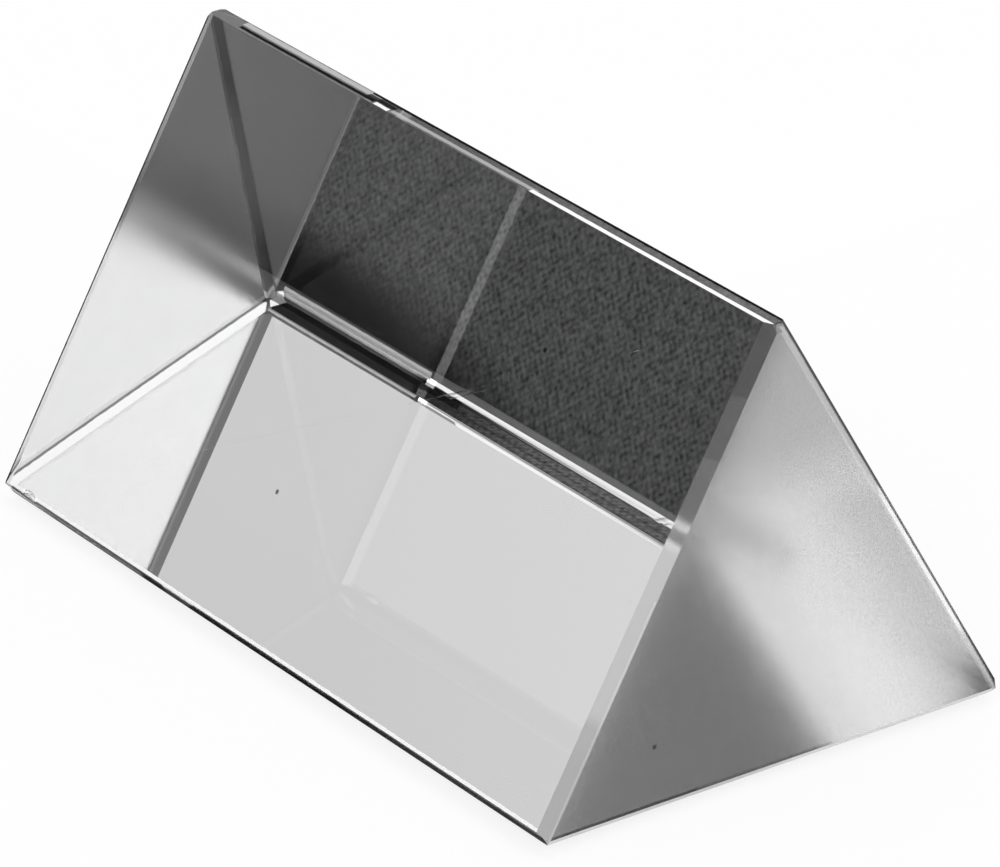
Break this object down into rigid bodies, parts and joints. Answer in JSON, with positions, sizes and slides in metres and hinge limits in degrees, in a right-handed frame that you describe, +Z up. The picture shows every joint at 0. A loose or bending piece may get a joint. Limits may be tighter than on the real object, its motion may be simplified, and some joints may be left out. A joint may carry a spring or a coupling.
{
  "type": "triangular optical prism",
  "caption": "Equilateral triangular prism of clear optical glass, with polished long faces, finely ground ends and narrow ground bevels on its edges.",
  "frame": {"origin": "middle of the footprint, on the surface that the prism rests on", "axes": "+X along the prism's length, from the chipped end to the other; +Y from the front face to the back face; +Z up, from the bottom face to the ridge"},
  "size_m": [0.06, 0.034, 0.0293],
  "materials": {
    "optical_glass": "clear crown glass, polished on the three long faces, finely ground on both ends and on the bevels"
  },
  "bodies": {
    "root": {"glass_prism": "optical_glass"}
  },
  "joints": []
}
